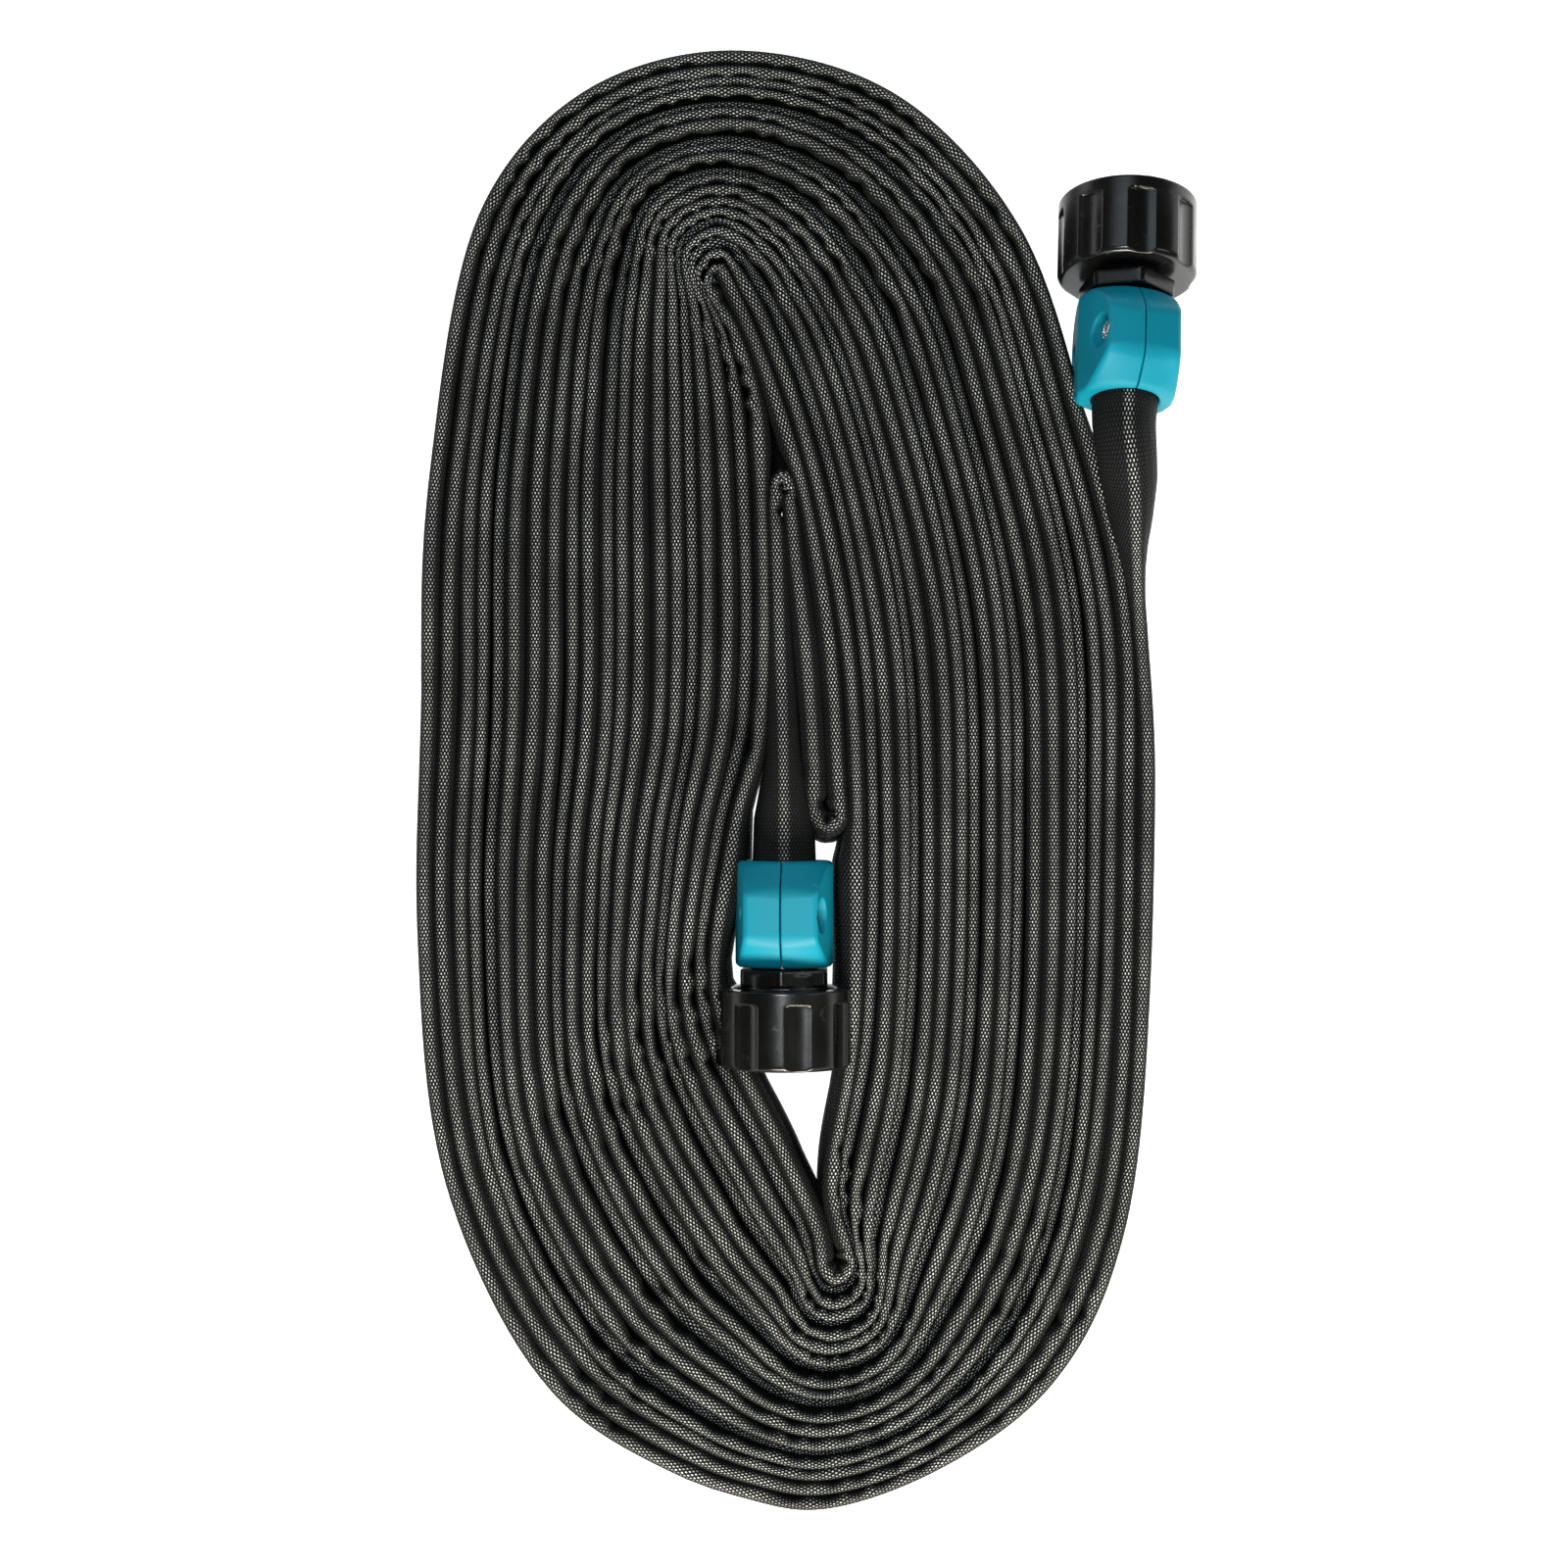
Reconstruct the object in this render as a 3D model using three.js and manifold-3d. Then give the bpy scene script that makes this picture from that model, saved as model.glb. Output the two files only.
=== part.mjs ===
// A flat-rolled fabric hose wound on edge into an oval coil, with a screw-clamped coupling on each end:
// a swivel nut on the inlet and a capped male thread on the outlet. Millimetres, +Z up.
// The coil lies on z = 0 with its long axis along Y, and the origin is under the middle of the whole object.

import * as THREE from 'three';
import { mergeVertices } from 'three/addons/utils/BufferGeometryUtils.js';
import Module from 'manifold-3d';

const wasm = await Module();
wasm.setup();

// ---------------------------------------------------------------- driving dimensions

const GAP = 0.3; // between pieces that touch
const STEM_SIDES = 40;
const SLEEVE_SIDES = 32;
const RING_SIDES = 60;
const CUTTER_SIDES = 36;
const SCREW_SIDES = 16;
const TAIL_SIDES = 10;
const PAST = 1; // how far a cut runs past the surface that it opens
const deg = THREE.MathUtils.degToRad;

// The coil: an oval of flattened hose standing on edge, one turn inside the next.
const COIL_HEIGHT = 24;
const TAIL_WIDTH = 6.4; // the flattened hose, seen from above
const TAIL_HEIGHT = 19;
const COIL_STEPS = 72; // straight steps round the coil's outer face
const INLET_TAIL_STEPS = 12;
const OUTLET_TAIL_WIDTH = 15; // nearly round still, just outside the clamp
const OUTLET_TAIL_HEIGHT = 17;
const OUTLET_TAIL_STEPS = 2;

// The hose where it is round, pushed over the barbs of a stem.
const JACKET_R = 8.65;
const JACKET_WALL = 0.6;
const LINER_R = 7.75;
const LINER_WALL = 0.55;
const HOSE_END = 24.8; // how far the hose reaches into a clamp
const HOSE_START = 0.4;

// A coupling's own frame has its axis along +Z, from the clamp's mouth at z = 0 to the open end.
// +Y is its front and +X the side that its screw heads are on.
const CLAMP = {
  length: 28.4,
  panelStart: 7.7, // where the sloping end meets the flat front panel
  panelHalfWidth: 9.7,
  middleHalfWidth: 13.1,
  height: 16.5, // from the axis to the front panel
  mouthHeight: 10.5, // from the axis to the middle of an end face's front edge
  mouthEllipse: 13.3, // half-width of the ellipse that this edge follows
  mouthHalfWidth: 12.3,
  mouthPoints: 7,
  edge: 0.7, // the softened ends
  bore: 8.95,
};
const SCREW = {
  offset: 11.1, // from the coupling's axis
  shaftR: 1.6,
  tip: -8.8,
  seat: 7.4, // the underside of the head
  headR: 3.6,
  headHeight: 2.4,
  recessR: 4.4,
  crossWidth: 0.9,
  crossLength: 4.2,
  crossDepth: 1.5,
  crossTurn: deg(30),
};
const STEM = {
  bore: 4.8,
  barbStart: 3,
  barbPitch: 4,
  barbs: 5,
  barbLowR: 6.1,
  barbHighR: 6.9,
  shoulderStart: 25.3,
  shoulderR: 8.5,
  hexStart: 28.8,
  hexEnd: 33.2,
  hexAcrossFlats: 22.7,
  hexEdge: 0.6, // how the hexagon's corners are turned off
};

// 3/4-11.5 garden hose thread, with running clearance between the two sides.
const THREAD = {
  pitch: 25.4 / 11.5,
  depth: 1.2,
  maleMajorR: 13.3,
  femaleMajorR: 13.75,
  rootWidth: 1.1,
  crestWidth: 0.5,
  stepsPerTurn: 20,
};

const RING = {
  outerR: 18.4,
  edge: 1.0, // chamfer round the closed end
  mouthEdge: 0.4,
  flutes: 8,
  fluteDepth: 1.1,
  fluteCutterR: 9,
  fluteBlindEnd: 3.3, // from the open end
};
const NUT = {
  start: 34.4,
  hub: 3.4,
  end: 56,
  holeR: 8.2,
  threadStart: 46.2,
  threadTurns: 3.2,
  turn: deg(5.7), // of its first flute from the front
};
const NECK_R = 7.8;
const FLANGE = { start: 38.6, end: 40.8, radius: 11.2 };
const WASHER = { innerR: 6.5, outerR: 12.2, thickness: 2.8 };
const INLET_WASHER_START = 41.1;
const CAP = {
  start: 34,
  innerEnd: 50.8,
  end: 55,
  threadStart: 38.4,
  threadTurns: 3,
  turn: deg(15.8),
};
const SPOUT = {
  neckR: 11.6,
  neckEnd: 35.2,
  threadStart: 36.4,
  threadTurns: 4.2,
  end: 47.6,
  edge: 0.8,
  mouthR: 8.6,
  mouthDepth: 9,
};

// Brings the middle of the whole object over the origin.
const ORIGIN_SHIFT = [-0.41, -0.04];

// Where the couplings lie: the clamp's mouth, and how the axis leans.
const OUTLET = { mouth: [-6.2, -21.4, 18.8], roll: deg(3.8), pitch: deg(0), heading: deg(0) };
const INLET = { mouth: [83.2, 99.3, 31], roll: deg(10.7), pitch: deg(13.5), heading: deg(177.3) };

// The coil's outer face, counter-clockwise from where the last turn leaves it.
const COIL_OUTER = [
  [85, 29.7], [83.6, 50], [80.2, 69.4], [76, 84.8], [70.9, 98], [68.6, 107], [66.7, 119.3], [62, 135.2],
  [53.8, 150], [44.5, 162], [24.5, 181.2], [-7, 192.2],
  [-38.7, 190.8], [-68.6, 174.9], [-85.4, 151.5], [-97.8, 104], [-102, 40], [-103.3, -27],
  [-102.2, -66], [-91.5, -120.5], [-69, -160.8], [-38.7, -182.2], [-1.6, -193.4],
  [34.1, -182.5], [65.3, -159], [80.8, -133.5], [87.4, -105], [91.4, -66], [92, -20],
];
const LAST_TURN_END = [92, 29.7];

// The gap inside the innermost turn, which the outlet coupling lies in, clockwise from its top left.
const COIL_GAP = [
  [-17.5, -10.2], [3.5, -10.2], [8.4, -17], [10.6, -30], [12.9, -50], [12.9, -77.5], [11, -82],
  [7, -88.5], [4.6, -98], [4.2, -110], [2.6, -112], [-0.6, -109], [-8, -96], [-16, -86.5],
  [-24.2, -81.3], [-25.9, -77.5], [-25.9, -50], [-21.6, -34], [-20.4, -22],
];

// The middle of the hose between the inlet clamp and the last turn.
const INLET_TAIL = [
  [83.17, 98.6, 31.2], [82.9, 93, 32.3], [83.6, 86, 31.8], [84.9, 76, 27.8],
  [86.1, 63, 20.8], [87.5, 49, 14.6], [88.5, 38, 12.2], [88.8, 30.1, 12],
];
const OUTLET_TAIL = [[-6.2, -21, 18.8], [-6.2, -16, 18.7], [-6.2, -10.8, 18.6]];

// ---------------------------------------------------------------- materials

function finish(color, roughness, metalness = 0) {
  return new THREE.MeshStandardMaterial({ color, roughness, metalness });
}

const jacket = () => finish(0x23272a, 0.9);
const liner = () => finish(0x101112, 0.6);
const tealPlastic = () => finish(0x0789a0, 0.5);
const blackPlastic = () => finish(0x16181a, 0.3);
const steel = () => finish(0xb9bcc0, 0.3, 1);
const rubber = () => finish(0x1b1b1c, 0.8);

// ---------------------------------------------------------------- solids

function solid(geometry) {
  const bare = geometry.index ? geometry.clone() : geometry;
  bare.deleteAttribute('normal');
  bare.deleteAttribute('uv');
  const merged = mergeVertices(bare, 1e-4);
  const shape = new wasm.Manifold(new wasm.Mesh({
    numProp: 3,
    vertProperties: new Float32Array(merged.attributes.position.array),
    triVerts: new Uint32Array(merged.index.array),
  }));
  return shape;
}

function geometryOf(shape) {
  const mesh = shape.getMesh();
  const geometry = new THREE.BufferGeometry();
  geometry.setAttribute('position', new THREE.BufferAttribute(new Float32Array(mesh.vertProperties), 3));
  geometry.setIndex(new THREE.BufferAttribute(new Uint32Array(mesh.triVerts), 1));
  geometry.computeVertexNormals();
  return geometry;
}

// A solid of revolution about Z from a closed outline of [radius, z] points.
function turned(outline, sides) {
  const points = outline.map(([r, z]) => new THREE.Vector2(r, z));
  if (outline.every(([r]) => r > 0)) points.push(points[0].clone());
  const geometry = new THREE.LatheGeometry(points, sides);
  geometry.rotateX(Math.PI / 2);
  return solid(facingOut(geometry));
}

// A closed solid through rings that have the same number of points each.
function lofted(rings) {
  const count = rings[0].length;
  const positions = rings.flat().flatMap((p) => [p.x, p.y, p.z]);
  const index = [];
  for (let i = 0; i + 1 < rings.length; i += 1) {
    for (let k = 0; k < count; k += 1) {
      const a = i * count + k;
      const b = i * count + ((k + 1) % count);
      index.push(a, b, b + count, a, b + count, a + count);
    }
  }
  const last = (rings.length - 1) * count;
  for (let k = 1; k + 1 < count; k += 1) {
    index.push(0, k + 1, k);
    index.push(last, last + k, last + k + 1);
  }
  const geometry = new THREE.BufferGeometry();
  geometry.setAttribute('position', new THREE.Float32BufferAttribute(positions, 3));
  geometry.setIndex(index);
  return facingOut(geometry);
}

// Turns a closed geometry's faces outwards if they face in.
function facingOut(geometry) {
  const flat = geometry.toNonIndexed().attributes.position;
  const corner = [new THREE.Vector3(), new THREE.Vector3(), new THREE.Vector3()];
  let volume = 0;
  for (let i = 0; i < flat.count; i += 3) {
    corner.forEach((c, k) => c.fromBufferAttribute(flat, i + k));
    volume += corner[0].dot(corner[1].clone().cross(corner[2]));
  }
  if (volume < 0) {
    const index = geometry.index.array;
    for (let i = 0; i < index.length; i += 3) {
      [index[i], index[i + 1]] = [index[i + 1], index[i]];
    }
  }
  return geometry;
}

function placed(geometry, x, y, z) {
  return geometry.translate(x, y, z);
}

// ---------------------------------------------------------------- threads

// A right-handed helical ridge about Z, its root sunk a little into the wall it stands on.
function threadRidge(rootR, direction, start, turns) {
  const steps = Math.round(turns * THREAD.stepsPerTurn);
  const fade = THREAD.stepsPerTurn / 6;
  const sunk = 0.25 * direction;
  const rings = [];
  for (let i = 0; i <= steps; i += 1) {
    const angle = (i / THREAD.stepsPerTurn) * 2 * Math.PI;
    const z = start + (i / THREAD.stepsPerTurn) * THREAD.pitch;
    const grown = Math.max(0.04, Math.min(1, i / fade, (steps - i) / fade));
    const crestR = rootR + direction * THREAD.depth * grown;
    const at = (r, dz) => new THREE.Vector3(r * Math.cos(angle), r * Math.sin(angle), z + dz);
    rings.push([
      at(rootR - sunk, -THREAD.rootWidth / 2),
      at(crestR, -THREAD.crestWidth / 2),
      at(crestR, THREAD.crestWidth / 2),
      at(rootR - sunk, THREAD.rootWidth / 2),
    ]);
  }
  return solid(lofted(rings));
}

// ---------------------------------------------------------------- coupling pieces

// One cross-section of the clamp, wide at the middle and narrower at the front and back. rise goes from 0
// at an end, where the front edge is curved round the hose, to 1 where it meets the flat front panel.
function clampSection(z, rise, inset) {
  const { lerp } = THREE.MathUtils;
  const halfWidth = lerp(CLAMP.mouthHalfWidth, CLAMP.panelHalfWidth, rise) - inset;
  const middle = CLAMP.middleHalfWidth - inset;
  const front = Array.from({ length: CLAMP.mouthPoints }, (_, i) => {
    const x = lerp(halfWidth, -halfWidth, i / (CLAMP.mouthPoints - 1));
    const mouth = CLAMP.mouthHeight * Math.sqrt(1 - (x / CLAMP.mouthEllipse) ** 2);
    return [x, lerp(mouth, CLAMP.height, rise) - inset];
  });
  const back = front.map(([x, y]) => [-x, -y]);
  const outline = [[middle, 0], ...front, [-middle, 0], ...back];
  return outline.map(([x, y]) => new THREE.Vector3(x, y, z));
}

function clampBody() {
  const { length, panelStart, edge } = CLAMP;
  return solid(lofted([
    clampSection(0, 0, edge),
    clampSection(edge, edge / panelStart, 0),
    clampSection(panelStart, 1, 0),
    clampSection(length - panelStart, 1, 0),
    clampSection(length - edge, edge / panelStart, 0),
    clampSection(length, 0, edge),
  ]));
}

function screwHole(side, from, to, radius) {
  const hole = new THREE.CylinderGeometry(radius, radius, to - from, SCREW_SIDES);
  hole.rotateZ(Math.PI / 2);
  return solid(placed(hole, (from + to) / 2, side * SCREW.offset, CLAMP.length / 2));
}

// Half of a clamp: the one on the +X side takes the screw heads, the other one their tips.
function clampHalf(sign) {
  const reach = 2 * CLAMP.middleHalfWidth;
  const half = new THREE.BoxGeometry(reach, 3 * CLAMP.height, 2 * CLAMP.length);
  let shape = clampBody().intersect(solid(placed(half, sign * (reach + GAP) / 2, 0, CLAMP.length / 2)));
  shape = shape.subtract(boreThrough(-PAST, CLAMP.length + PAST, CLAMP.bore));
  for (const side of [1, -1]) {
    shape = shape.subtract(screwHole(side, SCREW.tip - GAP, SCREW.seat + PAST, SCREW.shaftR + GAP));
    shape = shape.subtract(screwHole(side, SCREW.seat - GAP, reach, SCREW.recessR));
  }
  return geometryOf(shape);
}

// A pan-head screw with a cross recess, lying along X.
function screw(side) {
  const { shaftR, headR, headHeight, seat, tip, crossWidth, crossLength, crossDepth } = SCREW;
  let shape = turned([
    [0, tip], [shaftR * 0.3, tip], [shaftR, tip + 2], [shaftR, seat], [headR, seat],
    [headR, seat + headHeight * 0.55], [headR * 0.85, seat + headHeight * 0.88],
    [headR * 0.5, seat + headHeight], [0, seat + headHeight],
  ], SCREW_SIDES);
  for (const [x, y] of [[crossLength, crossWidth], [crossWidth, crossLength]]) {
    const slot = new THREE.BoxGeometry(x, y, 2 * crossDepth);
    slot.rotateZ(SCREW.crossTurn);
    shape = shape.subtract(solid(placed(slot, 0, 0, seat + headHeight)));
  }
  const geometry = geometryOf(shape);
  geometry.rotateY(Math.PI / 2);
  return placed(geometry, 0, side * SCREW.offset, CLAMP.length / 2);
}

// The part of a stem that both couplings share: barbs for the hose, a shoulder and a hexagon.
function stemOutline() {
  const outline = [[STEM.bore, STEM.barbStart], [STEM.barbLowR - 0.5, STEM.barbStart]];
  for (let i = 0; i < STEM.barbs; i += 1) {
    const z = STEM.barbStart + i * STEM.barbPitch;
    outline.push([STEM.barbHighR, z + STEM.barbPitch * 0.8]);
    outline.push([STEM.barbLowR, z + STEM.barbPitch]);
  }
  outline.push([STEM.barbLowR, STEM.shoulderStart], [STEM.shoulderR, STEM.shoulderStart]);
  outline.push([STEM.shoulderR, STEM.hexStart + PAST]);
  return outline;
}

function hexCollar() {
  const { hexStart, hexEnd, hexEdge } = STEM;
  const corner = STEM.hexAcrossFlats / Math.sqrt(3);
  const cornerR = corner - hexEdge / 2;
  const collar = new THREE.CylinderGeometry(corner, corner, hexEnd - hexStart, 6);
  collar.rotateX(Math.PI / 2);
  const rounded = turned([
    [0, hexStart], [cornerR - hexEdge, hexStart], [cornerR, hexStart + hexEdge],
    [cornerR, hexEnd - hexEdge], [cornerR - hexEdge, hexEnd], [0, hexEnd],
  ], STEM_SIDES);
  return solid(placed(collar, 0, 0, (hexStart + hexEnd) / 2)).intersect(rounded);
}

function boreThrough(from, to, radius) {
  return turned([[0, from], [radius, from], [radius, to], [0, to]], STEM_SIDES);
}

function inletStem() {
  const outline = stemOutline();
  outline.push([NECK_R, STEM.hexStart + PAST], [NECK_R, FLANGE.start], [FLANGE.radius, FLANGE.start]);
  outline.push([FLANGE.radius, FLANGE.end], [STEM.bore, FLANGE.end]);
  const shape = turned(outline, STEM_SIDES).add(hexCollar());
  return geometryOf(shape.subtract(boreThrough(0, FLANGE.end + PAST, STEM.bore)));
}

function outletStem() {
  const core = THREAD.maleMajorR - THREAD.depth;
  const outline = stemOutline();
  outline.push([SPOUT.neckR, STEM.hexStart + PAST], [SPOUT.neckR, SPOUT.neckEnd]);
  outline.push([core, SPOUT.neckEnd + GAP], [core, SPOUT.end - SPOUT.edge], [core - SPOUT.edge, SPOUT.end]);
  outline.push([STEM.bore, SPOUT.end]);
  let shape = turned(outline, STEM_SIDES).add(hexCollar());
  shape = shape.add(threadRidge(core, 1, SPOUT.threadStart, SPOUT.threadTurns));
  shape = shape.subtract(boreThrough(0, SPOUT.end + PAST, STEM.bore));
  const mouth = boreThrough(SPOUT.end - SPOUT.mouthDepth, SPOUT.end + PAST, SPOUT.mouthR);
  return geometryOf(shape.subtract(mouth));
}

// The grip flutes, cut from the closed end and ending short of the open one on a slope. turn is the first
// flute's angle from the front.
function fluted(shape, open, closed, turn) {
  const towards = Math.sign(closed - open);
  const blind = open + towards * RING.fluteBlindEnd;
  const slope = RING.fluteDepth * 0.8;
  const distance = RING.outerR - RING.fluteDepth + RING.fluteCutterR;
  const outline = [
    [0, blind], [RING.fluteCutterR - slope, blind], [RING.fluteCutterR, blind + towards * slope],
    [RING.fluteCutterR, closed + towards], [0, closed + towards],
  ];
  for (let i = 0; i < RING.flutes; i += 1) {
    const angle = Math.PI / 2 - turn + (i / RING.flutes) * 2 * Math.PI;
    const place = [distance * Math.cos(angle), distance * Math.sin(angle), 0];
    shape = shape.subtract(turned(outline, CUTTER_SIDES).translate(place));
  }
  return shape;
}

function swivelNut() {
  const { outerR, edge, mouthEdge } = RING;
  const shape = turned([
    [NUT.holeR, NUT.start], [outerR - edge, NUT.start], [outerR, NUT.start + edge],
    [outerR, NUT.end - mouthEdge], [outerR - mouthEdge, NUT.end],
    [THREAD.femaleMajorR + 0.5, NUT.end], [THREAD.femaleMajorR, NUT.end - 0.5],
    [THREAD.femaleMajorR, NUT.start + NUT.hub], [NUT.holeR, NUT.start + NUT.hub],
  ], RING_SIDES);
  const grip = fluted(shape, NUT.end, NUT.start, NUT.turn);
  return geometryOf(grip.add(threadRidge(THREAD.femaleMajorR, -1, NUT.threadStart, NUT.threadTurns)));
}

// The cap's thread starts half a pitch away from the spout's, so the two ridges pass between each other.
function screwCap() {
  const { outerR, edge, mouthEdge } = RING;
  const shape = turned([
    [0, CAP.innerEnd], [THREAD.femaleMajorR, CAP.innerEnd], [THREAD.femaleMajorR, CAP.start + 0.5],
    [THREAD.femaleMajorR + 0.5, CAP.start], [outerR - mouthEdge, CAP.start], [outerR, CAP.start + mouthEdge],
    [outerR, CAP.end - edge], [outerR - edge, CAP.end], [0, CAP.end],
  ], RING_SIDES);
  const grip = fluted(shape, CAP.start, CAP.end, CAP.turn);
  const wholePitches = Math.round((CAP.threadStart - SPOUT.threadStart) / THREAD.pitch);
  const start = SPOUT.threadStart + (wholePitches + 0.5) * THREAD.pitch;
  return geometryOf(grip.add(threadRidge(THREAD.femaleMajorR, -1, start, CAP.threadTurns)));
}

function sleeve(innerR, outerR, from, to) {
  return geometryOf(turned([[innerR, from], [outerR, from], [outerR, to], [innerR, to]], SLEEVE_SIDES));
}

function washerSolid(from, to) {
  return sleeve(WASHER.innerR, WASHER.outerR, from, to);
}

// ---------------------------------------------------------------- the coil and the two tails

function coilSolid() {
  const corners = COIL_OUTER.map(([x, y]) => new THREE.Vector3(x, y, 0));
  const outer = new THREE.CatmullRomCurve3(corners, false, 'centripetal');
  const shape = new THREE.Shape();
  const points = outer.getPoints(COIL_STEPS);
  shape.moveTo(points[0].x, points[0].y);
  points.slice(1).forEach((p) => shape.lineTo(p.x, p.y));
  shape.lineTo(...LAST_TURN_END);
  shape.closePath();
  const gap = new THREE.Path();
  gap.moveTo(...COIL_GAP[0]);
  COIL_GAP.slice(1).forEach(([x, y]) => gap.lineTo(x, y));
  gap.closePath();
  shape.holes.push(gap);
  return new THREE.ExtrudeGeometry(shape, { depth: COIL_HEIGHT, bevelEnabled: false, curveSegments: 1 });
}

function tail(points, width, height, steps) {
  const section = new THREE.Shape();
  for (let i = 0; i < TAIL_SIDES; i += 1) {
    const angle = ((i + 0.5) / TAIL_SIDES) * 2 * Math.PI;
    const x = (width / 2) * Math.cos(angle);
    const y = (height / 2) * Math.sin(angle);
    if (i === 0) section.moveTo(x, y);
    else section.lineTo(x, y);
  }
  section.closePath();
  const route = new THREE.CatmullRomCurve3(points.map((p) => new THREE.Vector3(...p)), false, 'centripetal');
  return new THREE.ExtrudeGeometry(section, { steps, extrudePath: route, bevelEnabled: false });
}

// ---------------------------------------------------------------- assembly

function named(name, geometry, material) {
  const mesh = new THREE.Mesh(geometry, material);
  mesh.name = name;
  return mesh;
}

// A coupling's group, its mouth at the given place and its axis turned to the given heading.
function couplingFrame({ mouth, roll, pitch, heading }) {
  const frame = new THREE.Group();
  frame.position.set(...mouth);
  frame.rotateZ(heading);
  frame.rotateX(Math.PI / 2 + pitch);
  frame.rotateZ(roll);
  return frame;
}

// The clamp, its screws and the gripped end of the hose, which are alike on both couplings.
function hoseClamp(prefix) {
  return [
    named(`${prefix}_clamp_head_half`, clampHalf(1), tealPlastic()),
    named(`${prefix}_clamp_tip_half`, clampHalf(-1), tealPlastic()),
    named(`${prefix}_screw_front`, screw(1), steel()),
    named(`${prefix}_screw_back`, screw(-1), steel()),
    named(`${prefix}_jacket_end`, sleeve(JACKET_R - JACKET_WALL, JACKET_R, HOSE_START, HOSE_END), jacket()),
    named(`${prefix}_liner_end`, sleeve(LINER_R - LINER_WALL, LINER_R, HOSE_START + 1, HOSE_END), liner()),
  ];
}

const hose = new THREE.Group();
hose.add(named('hose_coil', coilSolid(), jacket()));
const inletTail = tail(INLET_TAIL, TAIL_WIDTH, TAIL_HEIGHT, INLET_TAIL_STEPS);
const outletTail = tail(OUTLET_TAIL, OUTLET_TAIL_WIDTH, OUTLET_TAIL_HEIGHT, OUTLET_TAIL_STEPS);
hose.add(named('hose_inlet_tail', inletTail, jacket()));
hose.add(named('hose_outlet_tail', outletTail, jacket()));

const inlet = couplingFrame(INLET);
const inletWasher = washerSolid(INLET_WASHER_START, INLET_WASHER_START + WASHER.thickness);
inlet.add(...hoseClamp('inlet'));
inlet.add(named('inlet_stem', inletStem(), blackPlastic()));
inlet.add(named('inlet_nut', swivelNut(), blackPlastic()));
inlet.add(named('inlet_washer', inletWasher, rubber()));

const outlet = couplingFrame(OUTLET);
const capWasher = washerSolid(SPOUT.end + GAP, CAP.innerEnd - GAP);
outlet.add(...hoseClamp('outlet'));
outlet.add(named('outlet_stem', outletStem(), blackPlastic()));
outlet.add(named('outlet_cap', screwCap(), blackPlastic()));
outlet.add(named('outlet_cap_washer', capWasher, rubber()));

const group = new THREE.Group();
group.position.set(...ORIGIN_SHIFT, 0);
group.add(hose, inlet, outlet);
group.updateMatrixWorld(true);

export default group;
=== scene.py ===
import math

import bpy
import numpy as np
import openvdb
from mathutils import Matrix, Vector


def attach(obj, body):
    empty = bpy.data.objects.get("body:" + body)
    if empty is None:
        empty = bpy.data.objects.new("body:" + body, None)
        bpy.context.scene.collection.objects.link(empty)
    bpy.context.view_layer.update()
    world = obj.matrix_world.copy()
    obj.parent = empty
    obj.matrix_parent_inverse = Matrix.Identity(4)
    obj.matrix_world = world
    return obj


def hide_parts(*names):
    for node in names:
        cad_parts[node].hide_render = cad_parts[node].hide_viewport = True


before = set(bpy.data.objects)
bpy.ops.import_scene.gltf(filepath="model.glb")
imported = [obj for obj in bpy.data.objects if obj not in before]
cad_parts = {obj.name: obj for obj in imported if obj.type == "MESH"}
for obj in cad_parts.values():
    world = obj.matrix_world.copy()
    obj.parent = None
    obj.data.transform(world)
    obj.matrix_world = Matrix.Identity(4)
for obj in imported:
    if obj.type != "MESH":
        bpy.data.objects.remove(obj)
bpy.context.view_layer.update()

# Sizes and places below are in millimetres; MM turns them into metres as objects are made.
MM = 0.001
SHIFT = np.array([-0.41, -0.04, 0.0])  # brings the middle of the whole object over the origin
rng = np.random.default_rng(11)


# ---------------------------------------------------------------- camera and light

def look_at(thing, place, target):
    thing.location = [c * MM for c in place]
    direction = Vector(target) * MM - thing.location
    thing.rotation_euler = direction.to_track_quat("-Z", "Y").to_euler()
    bpy.context.scene.collection.objects.link(thing)
    return thing


CAMERA_PLACE = np.array([-6.24, -1.04, 700.0]) + SHIFT

lens = bpy.data.cameras.new("camera")
lens.lens = 58.5
lens.sensor_width = 36
camera = bpy.data.objects.new("camera", lens)
camera.location = Vector(CAMERA_PLACE) * MM
bpy.context.scene.collection.objects.link(camera)
bpy.context.scene.camera = camera
bpy.context.scene.view_settings.view_transform = "Standard"


def softbox(name, place, size, watts, color):
    light = bpy.data.lights.new(name, "AREA")
    light.shape = "RECTANGLE"
    light.size, light.size_y = (s * MM for s in size)
    light.energy = watts
    light.color = color
    return look_at(bpy.data.objects.new(name, light), place, (0, 0, 0))


softbox("key_light", (60, -560, 330), (380, 140), 9.6, (1.0, 0.92, 0.79))
softbox("top_light", (-60, 40, 900), (200, 200), 4.2, (0.93, 0.98, 1.0))
softbox("fill_light", (-150, 700, 800), (500, 300), 1.0, (0.80, 0.92, 1.0))
softbox("side_light", (700, 150, 600), (300, 400), 0.8, (0.97, 0.99, 1.0))

world = bpy.data.worlds.new("studio")
world.use_nodes = True
world.node_tree.nodes["Background"].inputs["Color"].default_value = (1, 1, 1, 1)
world.node_tree.nodes["Background"].inputs["Strength"].default_value = 0.04
bpy.context.scene.world = world


# ---------------------------------------------------------------- material building

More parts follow.
